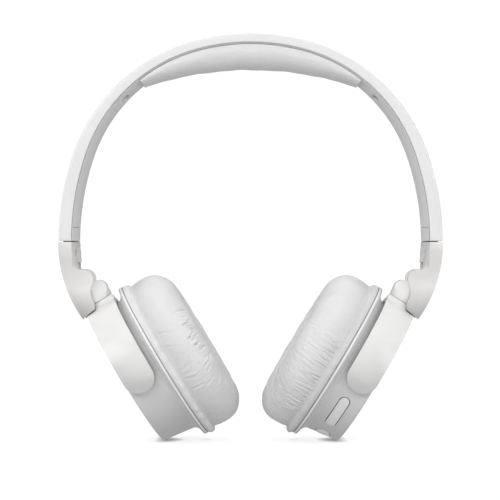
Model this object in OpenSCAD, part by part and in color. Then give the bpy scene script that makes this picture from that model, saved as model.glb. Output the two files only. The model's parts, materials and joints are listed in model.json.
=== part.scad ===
// Folding wireless headphones: a padded headband, two sliding arms, and two ear cups
// that fold inwards, swivel flat and tilt in their yokes.
// X to the right, -Y towards the front, Z up. The origin is on the surface that the
// cups stand on, midway between them.

/* [Headband] */
// Height of the crown
band_top = 173.7; // [172:0.1:178]
// Radius of the outer curve at the crown
crown_r = 91.5; // [90:0.1:93]
// Radius of the outer curve at the shoulders
shoulder_r = 75.3; // [74:0.1:77]
// Radius of the outer curve at the sides
side_r = 114.4; // [110:0.1:118]
// Width of the band, front to back
band_w = 26; // [25:0.1:28]
// Thickness of the outer shell at the crown
crown_t = 3.9; // [3.7:0.1:4.2]
// Thickness of the outer shell at its two ends
side_t = 5.5; // [5.3:0.1:5.8]
// Width of the inner liner
liner_w = 23; // [22:0.1:23.4]
// Thickness of the inner liner along its middle
liner_t = 2.7; // [2.6:0.1:2.8]
// Height of the two ends of the band
band_end = 85.4; // [85.2:0.1:86]

/* [Headband pad] */
// Height of the underside of the pad at the middle
pad_bottom = 158.9; // [157:0.1:160]
// Radius of the underside of the pad
pad_r = 145; // [140:1:150]
// Half the length of the pad, measured along X
pad_half = 46.5; // [44:0.5:48]
// Width of the pad, front to back
pad_w = 24.6; // [24:0.1:25]

/* [Sliding arms] */
// How far each arm pulls out
slide_travel = 20; // [15:1:22]
// Width of the steel strip
strip_w = 12; // [10:0.5:12]
// Thickness of the steel strip
strip_t = 1; // [0.8:0.1:1]
// Width of the fork at the foot of the arm
fork_w = 18.8; // [18.6:0.1:19.4]
// Width of the slot in the fork
fork_slot = 14.4; // [14:0.1:14.6]
// Radius of the curved back of the arm
arm_back_r = 52; // [51:0.5:53]

/* [Ear cups] */
// Place of the outer face of the cup, out from the middle
cup_x = 52.4; // [51:0.1:54]
// Angle of the outer face away from upright
cup_tilt = 31; // [30:0.5:32]
// Radius of the outer face
face_r = 29.6; // [29:0.1:30]
// Radius of the shell where the flare starts
waist_r = 31.5; // [31.2:0.1:31.6]
// Radius of the rim
rim_r = 36.3; // [36:0.1:37]
// Depth of the straight part of the shell
waist_z = 14.3; // [14:0.1:14.6]
// Depth of the whole shell
shell_z = 17.05; // [17:0.05:17.3]
// Wall thickness of the shell
wall = 1.8; // [1.6:0.1:2]

/* [Ear cushions] */
// Height of the top of the cushion above the outer face
cushion_z = 38.3; // [37:0.1:39]
// Widest radius of the cushion
cushion_r = 35.4; // [35:0.1:36]
// Radius of the opening for the ear
ear_r = 17.5; // [16:0.5:19]

/* [Yokes] */
// Outer radius of the ring
yoke_r = 34.3; // [34.2:0.1:34.4]
// Thickness of the ring
yoke_t = 1.9; // [1.8:0.1:2]
// Width of the ring
yoke_w = 13.4; // [13:0.1:13.4]
// Radius of the round boss under the knuckle
boss_r = 6.5; // [6.3:0.1:6.6]
// Distance of the seam between yoke and knuckle from the cup's axis
seam_x = 36; // [35.9:0.1:36.1]

/* [Controls] */
// Length of the volume rocker
rocker_l = 17; // [15:0.5:17]
// Width of the volume rocker
rocker_w = 4.2; // [4:0.1:4.4]
// Angle of the rocker from the lowest point of the shell, towards the front
rocker_a = 53; // [52:1:54]
// Radius of the power button
power_r = 3.2; // [3:0.1:3.3]
// Angle of the power button, measured the same way
power_a = 17; // [15:1:18]

/* [Hidden] */
$fn = 96;

gap = 0.1;            // between pieces that are fixed to each other
seam = 0.5;           // visible line between the band and an arm
run = 0.05;           // radial clearance of a pin in its bore
face_round = 1;       // rounding of the edge of a cup's outer face

// The outer curve of the band is three arcs on each side: crown, shoulder and side.
crown_a = 15;
shoulder_a = 56;
turn = [0, crown_a, crown_a + shoulder_a, 90];
outer_radii = [crown_r, shoulder_r, side_r];

function bow_x(r) = r[0] * sin(turn[1]) + r[1] * (sin(turn[2]) - sin(turn[1])) + r[2] * (1 - sin(turn[2]));
function bow_z(r) = r[0] * (1 - cos(turn[1])) + r[1] * (cos(turn[1]) - cos(turn[2])) + r[2] * cos(turn[2]);

band_half = bow_x(outer_radii);
bow_end = band_top - bow_z(outer_radii);

// The inner curve starts crown_t under the crown and ends side_t in from the side, so
// its shoulder and side radii follow from two linear equations.
inner_top = band_top - crown_t;
inner_crown = crown_r - crown_t;
eq_x = [sin(turn[2]) - sin(turn[1]), 1 - sin(turn[2])];
eq_z = [cos(turn[1]) - cos(turn[2]), cos(turn[2])];
need_x = band_half - side_t - inner_crown * sin(turn[1]);
need_z = inner_top - bow_end - inner_crown * (1 - cos(turn[1]));
det = eq_x[0] * eq_z[1] - eq_x[1] * eq_z[0];
inner_radii = [
    inner_crown,
    (need_x * eq_z[1] - need_z * eq_x[1]) / det,
    (need_z * eq_x[0] - need_x * eq_z[0]) / det
];

// Point on a curve of the band at a heading from the vertical, moved in by inset
function bow_point(top, r, heading, inset) =
    let (a = abs(heading),
         c0 = [0, top - r[0]],
         c1 = c0 + (r[0] - r[1]) * [sin(turn[1]), cos(turn[1])],
         c2 = c1 + (r[1] - r[2]) * [sin(turn[2]), cos(turn[2])],
         i = a <= turn[1] ? 0 : a <= turn[2] ? 1 : 2,
         p = [c0, c1, c2][i] + (r[i] - inset) * [sin(a), cos(a)])
    [sign(heading) * p[0], p[1]];

// Places that several pieces share
inner_x = band_half - side_t;             // inner side of the shell at the band's ends
liner_x = inner_x - gap - liner_t;        // inner side of the liner there
guide_top = 91.2;                         // seam between liner and slider guide
strip_x = inner_x - 0.3;                  // middle plane of the steel strip
strip_top = 113;
strip_bottom = 76.5;
channel = 0.3;                            // room around the strip
stop_z = 90;                              // height of the stop pin
stop_r = 1.2;
bow_steps = 36;                           // flats on each half of the band
spring_w = 12.4;                          // spring steel that closes the band
spring_reach = 70;
window_h = 46.5;                          // heading of the windows in the liner
window_l = 3.6;
window_y = 6.4;
arm_top = band_end - seam;
arm_lean = 4.5;                           // the inner side of the arm leans in by this
arm_back_z = 83;                          // the back of the arm curves in below this
crown_half = 12.3;                        // half width of the crowned inner side
cover_top = 82.8;
cover_bottom = 76.3;
cover_w = 13;
cover_t = 1.2;
screw_z = 79.8;
plug_r = 1.5;                             // shallow round recesses beside the cover
plug_y = 8.4;
plug_z = 80.2;
plug_floor = 1.2;                         // how far past the crown of the liner they reach
nose_x = 71.1;                            // rounded nose of each fork plate
nose_z = 69.1;
nose_r = 4.1;
ledge_in = 0.9;                           // step on top of the arm, inside the seam
ledge_back = 2.1;
ledge_core = 1.9;                         // its narrower core reaches this far past the shell
ledge_core_in = 4;
joint_gap = 0.12;                         // half of the seam between knuckle and yoke
boss_h = 3.4;
root_x = 40.8;                            // root of the knuckle, between its boss and its lobe
root_z = 9.5;
root_r = 3.8;
collar_r = 9.4;                           // thick root of the boss on the yoke
collar_back = 28;
collar_top = 33.1;
neck_r = 7.3;                             // the boss narrows to this above the yoke's ring
neck_top = 34.3;

// In the cup's own frame x runs up along the outer face, y to the back and z from the
// outer face towards the ear.
cup_z = (face_r - face_round) * cos(cup_tilt) - face_round * sin(cup_tilt) + face_round;
yoke_z = yoke_w / 2;                      // the yoke's middle plane and the tilt axis
fold_x = 42.5;                            // fold axis
fold_z = 4;
fold_r = 1.25;
swivel_r = 2;
tilt_r = 2;
lobe_r = 3.9;                             // knuckle round the fold pin
fold_sweep = 13.2;                        // reach of the folding pieces inside the fork
swivel_sweep = norm([yoke_r, yoke_w / 2]) + 0.3;
knuckle_w = 13.2;
rim_z = 18.3;                             // ear side of the baffle
boss_angles = [0, 120, 290];              // screw bosses round the cup
boss_place = 27.2;
driver_r = 20;
port_a = -30;
light_a = 0;
mic_a = -10;
key_z = 7.8;                              // height of the controls on the shell
board_z = 4.9;
board_t = 1.2;

function arc_points(c, r, from, to, n) = [for (i = [0:n]) c + r * [cos(from + (to - from) * i / n),
                                                                  sin(from + (to - from) * i / n)]];
function shell_r(z) = face_r + (waist_r - face_r) * z / waist_z;

// ---- shared modules ----

module both_ends() {
    children();
    mirror([1, 0, 0]) children();
}

// Puts children in the frame of the right cup
module at_cup() translate([cup_x, 0, cup_z]) rotate([0, cup_tilt - 90, 0]) children();

// Puts children on the shell of the cup with x pointing out, y along the rim and z to
// the ear; a is the angle from the lowest point towards the front
module at_shell(a, z = key_z) rotate(180 + a) translate([0, 0, z]) children();

// Extrudes an outline given in X and Z by w, front to back
module slab(w) rotate([90, 0, 0]) linear_extrude(w, center = true) children();

// Band between two distances inwards from a curve, w wide, up to a heading each side
module bow(top, r, inset, w, reach = 90) {
    headings = [for (i = [-bow_steps:bow_steps]) reach * i / bow_steps];
    n = len(headings);
    slab(w) polygon(concat(
        [for (h = headings) bow_point(top, r, h, inset[0])],
        [for (i = [n - 1:-1:0]) bow_point(top, r, headings[i], inset[1])]
    ));
}

// Rectangle from x0 to x1 and w high, with its x1 corners rounded
module section(x0, x1, w, r) {
    h = w / 2;
    polygon(concat(
        [[x0, -h]],
        arc_points([x1 - r, r - h], r, -90, 0, 5),
        arc_points([x1 - r, h - r], r, 0, 90, 5),
        [[x0, h]]
    ));
}

// Stadium of length l along y and width w along z, standing on the y-z plane
module stadium(l, w, h) {
    rotate([90, 0, 90]) linear_extrude(h) {
        square([l - w, w], center = true);
        for (s = [-1, 1]) translate([s * (l - w) / 2, 0]) circle(d = w, $fn = 48);
    }
}

// ---- headband ----

module strip_channel() {
    w = strip_w + 2 * channel;
    t = strip_t + 2 * channel;
    translate([strip_x - t / 2, -w / 2, band_end - 5]) cube([t, w, strip_top + 2 - band_end + 5]);
}

module headband_shell() color("whitesmoke") difference() {
    bow(band_top, outer_radii, [0, 8], band_w);
    bow(inner_top, inner_radii, [0, 14], 2 * band_w);
    bow(inner_top, inner_radii, [-1, 1], spring_w + 0.8, spring_reach + 0.5);
    both_ends() {
        below(band_end);
        strip_channel();
        translate([strip_x, 0, stop_z]) rotate([0, 90, 0]) cylinder(r = stop_r + 0.02, h = 2.7);
    }
}

// Everything at the right end of the band that is lower than z
module below(z) translate([liner_x - 10, -band_w, bow_end - 20]) cube([40, 2 * band_w, 20 + z - bow_end]);

// The liner is crowned: each layer towards the head is narrower
module liner_layers(grow = 0) {
    n = 3;
    step = liner_t / n;
    for (i = [0:n - 1]) bow(inner_top, inner_radii,
        [gap - grow + 0.5 * step * i, gap + grow + step * (i + 1)], liner_w * sqrt(1 - i / 2.4) + 2 * grow);
}

// Liner, cut off where the slider guides start
module headband_liner() color("gainsboro") difference() {
    liner_layers();
    both_ends() {
        below(guide_top);
        strip_channel();
        liner_window();
    }
}

// Pair of small windows in the liner just below the end of the pad
module liner_window() {
    p = bow_point(inner_top, inner_radii, window_h, 4);
    translate([p[0], 0, p[1]]) rotate([0, window_h, 0]) linear_extrude(6) {
        for (s = [-1, 1]) translate([0, s * window_y]) {
            square([window_l, window_l / 3], center = true);
            for (t = [-1, 1]) translate([0, t * window_l / 6]) circle(d = window_l, $fn = 48);
        }
    }
}

module headband_spring() color("silver")
    bow(inner_top, inner_radii, [-0.8, -0.2], spring_w, spring_reach);

// Lowest part of the liner's curve, which holds the strip as it slides
module slider_guide() color("gainsboro") difference() {
    intersection() {
        liner_layers();
        translate([liner_x - liner_t, -liner_w / 2, band_end])
            cube([3 * liner_t, liner_w, guide_top - 0.15 - band_end]);
    }
    strip_channel();
    translate([strip_x - 1.2, 0, stop_z]) rotate([0, 90, 0]) cylinder(r = stop_r + 0.02, h = 3);
}

module slider_stop_pins() color("silver")
    both_ends() translate([strip_x - 1.15, 0, stop_z]) rotate([0, 90, 0]) cylinder(r = stop_r, h = 3.7);

// Plain solid of the pad, wrapped over the edges of the liner
module headband_pad() color("white") difference() {
    intersection() {
        translate([0, 0, pad_bottom - pad_r]) rotate([90, 0, 0]) rotate(90 - 25)
            rotate_extrude(angle = 50, $fn = 180) translate([pad_r, 0]) mirror([1, 0])
                section(-20, 0, pad_w, 5);
        bow(inner_top, inner_radii, [1.2, 60], band_w + 4, 60);
        translate([-pad_half, -band_w, 100]) cube([2 * pad_half, 2 * band_w, 100]);
    }
    liner_layers(grow = gap);
}

// ---- sliding arms ----

module slider_strip() color("silver") difference() {
    translate([strip_x, 0, 0]) rotate([90, 0, 90]) linear_extrude(strip_t, center = true) difference() {
        union() {
            translate([-strip_w / 2, strip_bottom]) square([strip_w, strip_top - 2 - strip_bottom]);
            translate([-strip_w / 2 + 2, strip_bottom]) square([strip_w - 4, strip_top - strip_bottom]);
            for (s = [-1, 1]) translate([s * (strip_w / 2 - 2), strip_top - 2]) circle(2);
        }
        translate([-stop_r - 0.3, stop_z]) square([2 * (stop_r + 0.3), slide_travel]);
        for (z = [stop_z, stop_z + slide_travel]) translate([0, z]) circle(stop_r + 0.3);
        translate([0, screw_z]) circle(1.2);
    }
}

// Front view of the arm: curved back, straight inner side and a nose on each fork plate
module arm_outline() {
    fillet = 3.5;
    intersection() {
        translate([band_half - arm_back_r, arm_back_z]) circle(arm_back_r, $fn = 180);
        polygon(concat(
            [[66.4, 48], [66.4, 58.4], [67.8, 61.4], [68.3, 63.6], [68.2, 64.4], [67.1, 68.4]],
            [[nose_x, nose_z + nose_r]],
            arc_points([inner_x - fillet, nose_z + nose_r + fillet], fillet, -90, 0, 8),
            [[inner_x, arm_back_z], [100, arm_back_z], [100, 48]]
        ));
    }
    translate([inner_x, arm_back_z - 0.01]) square([side_t, arm_top - arm_back_z + 0.01]);
    translate([nose_x, nose_z]) circle(nose_r);
}

// Side view of the arm: as wide as the band at the top, as wide as the fork below
module arm_taper() {
    top = 84;
    bottom = 68;
    n = 8;
    wide = band_w / 2;
    slim = fork_w / 2;
    function half(i) = slim + (wide - slim) * (1 - cos(180 * i / n)) / 2;
    function level(i) = bottom + (top - bottom) * i / n;
    polygon(concat(
        [[-slim, 40]],
        [for (i = [0:n]) [-half(i), level(i)]],
        [[-wide, 90], [wide, 90]],
        [for (i = [n:-1:0]) [half(i), level(i)]],
        [[slim, 40]]
    ));
}

// Crowned inner side of the arm, which carries on the line of the liner down to the nose
module arm_inner(w) intersection() {
    slab(w) polygon(concat(
        [[inner_x + 0.2, arm_top], [liner_x, arm_top]],
        arc_points([66.6, 77.6], 6, -5, -55, 6),
        [[71, 70], [inner_x + 0.2, 70]]
    ));
    translate([liner_x, 0, arm_top]) rotate([0, arm_lean, 0]) translate([0, 0, -20]) linear_extrude(30)
        polygon(concat(
            [for (i = [-8:8]) [liner_t * pow(i / 8, 2), crown_half * i / 8]],
            [[10, crown_half], [10, -crown_half]]
        ));
}

// Block on top of the arm that closes the seam under the band to the eye
module arm_ledge(past, in) translate([inner_x - past, in - band_w / 2, arm_top - 0.2])
    cube([side_t + past - ledge_back, band_w - 2 * in, seam + 0.1]);

module arm() color("whitesmoke") difference() {
    union() {
        intersection() {
            union() {
                slab(band_w) arm_outline();
                arm_inner(2 * crown_half);
            }
            rotate([90, 0, 90]) linear_extrude(200) arm_taper();
        }
        arm_ledge(0, ledge_in);
        arm_ledge(ledge_core, ledge_core_in);
    }
    // slot for the knuckle, the yoke's sweep, the strip and its cover
    slab(fork_slot) intersection() {
        translate(fold_axis()) circle(fold_sweep);
        translate([band_half - arm_back_r, arm_back_z]) circle(arm_back_r - 1.9, $fn = 180);
    }
    at_cup() translate([0, 0, yoke_z]) sphere(swivel_sweep, $fn = 128);
    translate([strip_x - strip_t / 2 - gap / 2, -strip_w / 2 - gap, strip_bottom - gap])
        cube([strip_t + gap, strip_w + 2 * gap, 20]);
    translate([liner_x - 4, -cover_w / 2 - gap, cover_bottom - gap])
        cube([4 + cover_t + 2 * gap, cover_w + 2 * gap, cover_top - cover_bottom + 2 * gap]);
    for (s = [-1, 1]) translate([liner_x - 4, s * plug_y, plug_z]) rotate([0, 90, 0])
        cylinder(r = plug_r, h = 4 + plug_floor);
    translate([liner_x, 0, screw_z]) rotate([0, 90, 0]) cylinder(r = 0.92, h = 6);
    fold_hole(run = 0.02, from = -fork_w / 2 + 0.7);
}

function fold_axis() = [
    cup_x + fold_x * sin(cup_tilt) - fold_z * cos(cup_tilt),
    cup_z + fold_x * cos(cup_tilt) + fold_z * sin(cup_tilt)
];

module fold_hole(run, from) translate([fold_axis()[0], from, fold_axis()[1]]) rotate([-90, 0, 0])
    cylinder(r = fold_r + run, h = 30);

module arm_cover() color("gainsboro") difference() {
    intersection() {
        arm_inner(cover_w);
        translate([liner_x - 4, -cover_w, cover_bottom])
            cube([4 + cover_t, 2 * cover_w, cover_top - cover_bottom]);
    }
    translate([liner_x - 1, 0, screw_z]) rotate([0, 90, 0]) cylinder(r = 1.02, h = 4);
    translate([liner_x - 4, 0, screw_z]) rotate([0, 90, 0]) cylinder(r = 1.9, h = 4.6);
}

module arm_screw() color("silver") translate([liner_x, 0, screw_z]) rotate([0, 90, 0]) difference() {
    union() {
        translate([0, 0, 0.1]) cylinder(r = 1.8, h = 0.45);
        cylinder(r = 0.9, h = 5.5);
    }
    for (a = [0, 90]) rotate(a) translate([-1, -0.2, -1]) cube([2, 0.4, 1.35]);
}

module fold_pin() color("silver") translate([fold_axis()[0], -fork_w / 2 + 0.75, fold_axis()[1]])
    rotate([-90, 0, 0]) cylinder(r = fold_r, h = fork_w - 0.95);

// ---- knuckles and yokes ----

module knuckle() color("white") at_cup() difference() {
    hull() {
        translate([seam_x + joint_gap, 0, yoke_z]) rotate([0, 90, 0])
            cylinder(r = boss_r, h = boss_h, $fn = 64);
        translate([root_x, 0, root_z]) rotate([90, 0, 0])
            cylinder(r = root_r, h = knuckle_w - 3, center = true, $fn = 48);
        translate([fold_x, 0, fold_z]) rotate([90, 0, 0])
            cylinder(r = lobe_r, h = knuckle_w - 1, center = true, $fn = 48);
    }
    translate([fold_x, 0, fold_z]) rotate([90, 0, 0]) cylinder(r = fold_r + run, h = 30, center = true);
    translate([seam_x - 1, 0, yoke_z]) rotate([0, 90, 0]) cylinder(r = swivel_r, h = 4.6);
}

module swivel_pin() color("silver") at_cup() translate([31.3, 0, yoke_z]) rotate([0, 90, 0]) difference() {
    cylinder(r = swivel_r, h = 8.2);
    translate([0, 0, -1]) cylinder(r = 1.1, h = 10);
    translate([0, 0, 0.2]) rotate_extrude() translate([swivel_r - 0.35, 0]) square([1, 0.65]);
}

module swivel_clip() color("silver") at_cup() translate([31.55, 0, yoke_z]) rotate([0, 90, 0]) difference() {
    cylinder(r = 3.3, h = 0.55);
    translate([0, 0, -1]) cylinder(r = swivel_r - 0.33, h = 3);
    translate([0, -1.1, -1]) cube([5, 2.2, 3]);
}

module yoke() color("white") at_cup() difference() {
    union() {
        intersection() {
            difference() {
                cylinder(r = yoke_r, h = 30, center = true, $fn = 180);
                cylinder(r = yoke_r - yoke_t, h = 31, center = true, $fn = 180);
            }
            slab(80) {
                translate([0, 0]) square([40, yoke_w]);
                translate([0, yoke_z]) circle(yoke_z);
            }
        }
        intersection() {
            translate([0, 0, yoke_z]) rotate([0, 90, 0]) rotate_extrude() polygon([
                [0, collar_back], [collar_r, collar_back], [collar_r, collar_top], [neck_r, neck_top],
                [boss_r, seam_x - joint_gap], [0, seam_x - joint_gap]
            ]);
            difference() {
                translate([20, -10, 0]) cube([20, 20, yoke_w]);
                cylinder(r = yoke_r - yoke_t, h = 60, center = true, $fn = 180);
            }
        }
    }
    translate([20, 0, yoke_z]) rotate([0, 90, 0]) cylinder(r = swivel_r + run, h = 20);
    for (s = [-1, 1]) translate([0, s * 30, yoke_z]) rotate([-90 * s, 0, 0]) cylinder(r = tilt_r + 0.02, h = 3.6);
}

module tilt_pins() color("silver") at_cup()
    for (s = [-1, 1]) translate([0, s * 27.6, yoke_z]) rotate([-90 * s, 0, 0]) cylinder(r = tilt_r, h = 5.9);

// ---- ear cups ----

module shell_profile() {
    top = [rim_r, shell_z];
    polygon(concat(
        [[26.6, 0]],
        arc_points([face_r - face_round, face_round], face_round, -90, 0, 6),
        [[waist_r, waist_z]],
        [[waist_r + 0.9, waist_z + 1.1], [rim_r - 2.4, shell_z - 0.75], [rim_r - 0.3, shell_z - 0.3], top],
        [[rim_r - 2.2, shell_z], [waist_r - 1.2, waist_z + 1.6], [waist_r - wall, waist_z],
         [face_r - wall, wall], [24.8, wall], [24.8, 1.3], [26.6, 1.3]]
    ));
}

module cup_shell_body() difference() {
    union() {
        rotate_extrude($fn = 180) shell_profile();
        for (a = boss_angles) rotate(a) translate([boss_place, 0, wall]) intersection() {
            cylinder(r = 2.3, h = shell_z - wall - 0.1);
            translate([-10, -10, 0]) cube([12.1, 20, 40]);
        }
    }
    for (a = boss_angles) rotate(a) translate([boss_place, 0, 8]) cylinder(r = 0.92, h = 20);
    for (s = [-1, 1]) translate([0, s * 26, yoke_z]) rotate([-90 * s, 0, 0]) cylinder(r = tilt_r + run, h = 8);
}

module plain_shell() color("gainsboro") at_cup() cup_shell_body();

// The right shell also has the openings for the controls and the ribs of the rocker's pin
module control_shell() color("gainsboro") at_cup() difference() {
    union() {
        cup_shell_body();
        at_shell(rocker_a) for (s = [-1, 1]) translate([26.6, -1.8, s * 3.45 - 0.5]) cube([2.9, 3.6, 1]);
    }
    at_shell(rocker_a) {
        translate([25, 0, 0]) stadium(rocker_l + 0.7, rocker_w + 0.6, 10);
        translate([28.1, 0, 0]) cylinder(r = 0.77, h = 9, center = true);
    }
    at_shell(power_a) rotate([0, 90, 0]) cylinder(r = power_r + 0.25, h = 40);
    at_shell(port_a) translate([25, 0, 0]) stadium(9.6, 3.8, 10);
    at_shell(light_a) rotate([0, 90, 0]) cylinder(r = 0.8, h = 40);
    at_shell(mic_a) rotate([0, 90, 0]) cylinder(r = 0.5, h = 40);
}

module cup_cap() color("whitesmoke") at_cup() {
    cylinder(r = 26.5, h = 1.2);
    translate([0, 0, 1.1]) cylinder(r = 24.7, h = 0.6);
}

module baffle() color("white") at_cup() difference() {
    rotate_extrude($fn = 180) polygon([
        [15, 17.15], [rim_r - 0.15, 17.15], [rim_r, 17.3], [rim_r, rim_z - 0.15], [rim_r - 0.15, rim_z], [15, rim_z]
    ]);
    for (a = [22.5:45:337.5]) rotate(a) translate([24, 0, 10]) cylinder(r = 1.2, h = 10);
    for (a = boss_angles) rotate(a) translate([boss_place, 0, 0]) {
        translate([0, 0, 10]) cylinder(r = 1.1, h = 10);
        translate([0, 0, rim_z - 0.6]) cylinder(r = 1.7, h = 2);
    }
}

module baffle_screws() color("silver") at_cup() for (a = boss_angles) rotate(a) translate([boss_place, 0, 0]) {
    translate([0, 0, 9]) cylinder(r = 0.9, h = rim_z - 9.2);
    translate([0, 0, rim_z - 0.55]) cylinder(r = 1.6, h = 0.5);
}

module driver_frame() color("dimgray") at_cup() rotate_extrude() polygon([
    [driver_r, 17.05], [driver_r, 15.8], [16, 15.8], [12.6, 12], [12.6, 8], [1.5, 8], [1.5, 8.9],
    [11.4, 8.9], [11.4, 12.4], [15.2, 16.6], [15.2, 17.05]
]);

module driver_magnet() color("silver") at_cup() difference() {
    translate([0, 0, 9]) cylinder(r = 10.8, h = 3.6);
    translate([0, 0, 8]) cylinder(r = 1.5, h = 6);
}

// Dome and surround in one thin sheet
module driver_cone() color("lightgray") at_cup() rotate_extrude() polygon([
    [0, 16.4], [4, 16.1], [7, 15.2], [7, 13.2], [7.3, 13.2], [7.3, 15.1], [11, 16.5], [14.8, 16.6],
    [14.8, 16.9], [10.9, 16.8], [7.1, 15.5], [4.1, 16.4], [0, 16.7]
]);

module driver_cloth() color("lightgray") at_cup() translate([0, 0, rim_z + 0.1]) cylinder(r = 21.9, h = 0.4);

module cushion_plate() color("gainsboro") at_cup() difference() {
    translate([0, 0, rim_z + 0.1]) cylinder(r = 33.6, h = 1.1, $fn = 180);
    cylinder(r = 22.1, h = 40);
}

// Welt at the foot, a neck, and the crowned ring that meets the ear
module cushion_profile() {
    foot = rim_z + 0.1;
    side_bulge = 7.5;
    top_round = 2.6;
    lip_r = 5;
    polygon(concat(
        [[ear_r, foot + 1.2], [33.7, foot + 1.2], [33.7, foot]],
        arc_points([33.9, foot + 2.3], 2.3, -90, 70, 8),
        [[cushion_r - 0.9, foot + 6.4]],
        arc_points([cushion_r - side_bulge, cushion_z - 8.7], side_bulge, -20, 35, 6),
        arc_points([28.6, cushion_z - top_round], top_round, 40, 90, 4),
        arc_points([ear_r + lip_r, cushion_z - lip_r], lip_r, 90, 180, 6)
    ));
}

module ear_cushion() color("white") at_cup() rotate_extrude($fn = 180) cushion_profile();

// ---- inside the cups, and the controls ----

module battery() color("steelblue") at_cup() translate([-14, -11, 2.3]) cube([28, 22, 4.8]);

module circuit_board() color("seagreen") at_cup() translate([0, 0, board_z]) difference() {
    cylinder(r = 24, h = board_t);
    for (a = boss_angles) rotate(a) translate([boss_place, 0, -1]) cylinder(r = 3.2, h = 5);
}

module charging_port() color("silver") at_cup() at_shell(port_a) difference() {
    translate([23.2, 0, 0]) stadium(8.9, 3.2, 7);
    translate([24.2, 0, 0]) stadium(8.3, 2.6, 8);
}

// Cone that stands proud of the shell by d
module proud_cone(d) translate([0, 0, -1]) cylinder(
    r1 = shell_r(-1) + d, r2 = shell_r(19) + d, h = 20, $fn = 180);

module volume_rocker() color("white") at_cup() difference() {
    union() {
        intersection() {
            at_shell(rocker_a) translate([27.6, 0, 0]) stadium(rocker_l, rocker_w, 6);
            proud_cone(0.45);
        }
        at_shell(rocker_a) translate([26.7, -1.8, -rocker_w / 2 + 0.2]) cube([2, 3.6, rocker_w - 0.4]);
    }
    at_shell(rocker_a) translate([28.1, 0, 0]) cylinder(r = 0.75 + run, h = 9, center = true);
}

module rocker_pin() color("silver") at_cup() at_shell(rocker_a)
    translate([28.1, 0, 0]) cylinder(r = 0.75, h = 7.6, center = true);

module power_button() color("white") at_cup() {
    intersection() {
        at_shell(power_a) rotate([0, 90, 0]) cylinder(r = power_r, h = 40);
        difference() {
            proud_cone(0.4);
            cylinder(r = 28, h = 60, center = true);
        }
    }
    at_shell(power_a) translate([27.3, 0, 0]) rotate([0, 90, 0]) cylinder(r = 3.2, h = 1.2);
}

module key_switches() color("dimgray") at_cup() {
    at_shell(power_a) translate([25, -1.5, -1.5]) cube([1.5, 3, 3]);
    for (s = [-1, 1]) at_shell(rocker_a) translate([25, s * 5.5 - 1.5, -1.5]) cube([1.9, 3, 3]);
}

module status_light() color("white") at_cup() at_shell(light_a) translate([26.5, 0, 0]) rotate([0, 90, 0])
    cylinder(r = 0.7, h = 4);

module microphone() color("dimgray") at_cup() at_shell(mic_a) translate([26.6, 0, 0]) rotate([0, 90, 0])
    cylinder(r = 1.6, h = 1.4);

// ---- the pieces ----

module left_side() mirror([1, 0, 0]) children();

headband_shell();
headband_liner();
headband_spring();
headband_pad();
left_side() slider_guide();  // left_slider_guide
slider_guide();  // right_slider_guide
slider_stop_pins();
left_side() slider_strip();  // left_slider_strip
slider_strip();  // right_slider_strip
left_side() arm();  // left_arm
arm();  // right_arm
left_side() arm_cover();  // left_arm_cover
arm_cover();  // right_arm_cover
left_side() arm_screw();  // left_arm_screw
arm_screw();  // right_arm_screw
left_side() fold_pin();  // left_fold_pin
fold_pin();  // right_fold_pin
left_side() knuckle();  // left_knuckle
knuckle();  // right_knuckle
left_side() swivel_pin();  // left_swivel_pin
swivel_pin();  // right_swivel_pin
left_side() swivel_clip();  // left_swivel_clip
swivel_clip();  // right_swivel_clip
left_side() yoke();  // left_yoke
yoke();  // right_yoke
left_side() tilt_pins();  // left_tilt_pins
tilt_pins();  // right_tilt_pins
left_side() plain_shell();  // left_cup_shell
control_shell();  // right_cup_shell
left_side() cup_cap();  // left_cup_cap
cup_cap();  // right_cup_cap
left_side() baffle();  // left_baffle
baffle();  // right_baffle
left_side() baffle_screws();  // left_baffle_screws
baffle_screws();  // right_baffle_screws
left_side() driver_frame();  // left_driver_frame
driver_frame();  // right_driver_frame
left_side() driver_magnet();  // left_driver_magnet
driver_magnet();  // right_driver_magnet
left_side() driver_cone();  // left_driver_cone
driver_cone();  // right_driver_cone
left_side() driver_cloth();  // left_driver_cloth
driver_cloth();  // right_driver_cloth
left_side() cushion_plate();  // left_cushion_plate
cushion_plate();  // right_cushion_plate
left_side() ear_cushion();  // left_ear_cushion
ear_cushion();  // right_ear_cushion
left_side() battery();  // left_battery
circuit_board();  // right_circuit_board
charging_port();  // right_charging_port
volume_rocker();  // right_volume_rocker
rocker_pin();  // right_rocker_pin
power_button();  // right_power_button
key_switches();  // right_key_switches
status_light();  // right_status_light
microphone();  // right_microphone
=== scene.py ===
"""Looks of the folding wireless headphones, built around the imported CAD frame. Units are metres."""

import json
import math

import bmesh
import bpy
import numpy as np
from mathutils import Matrix, Vector


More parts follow.
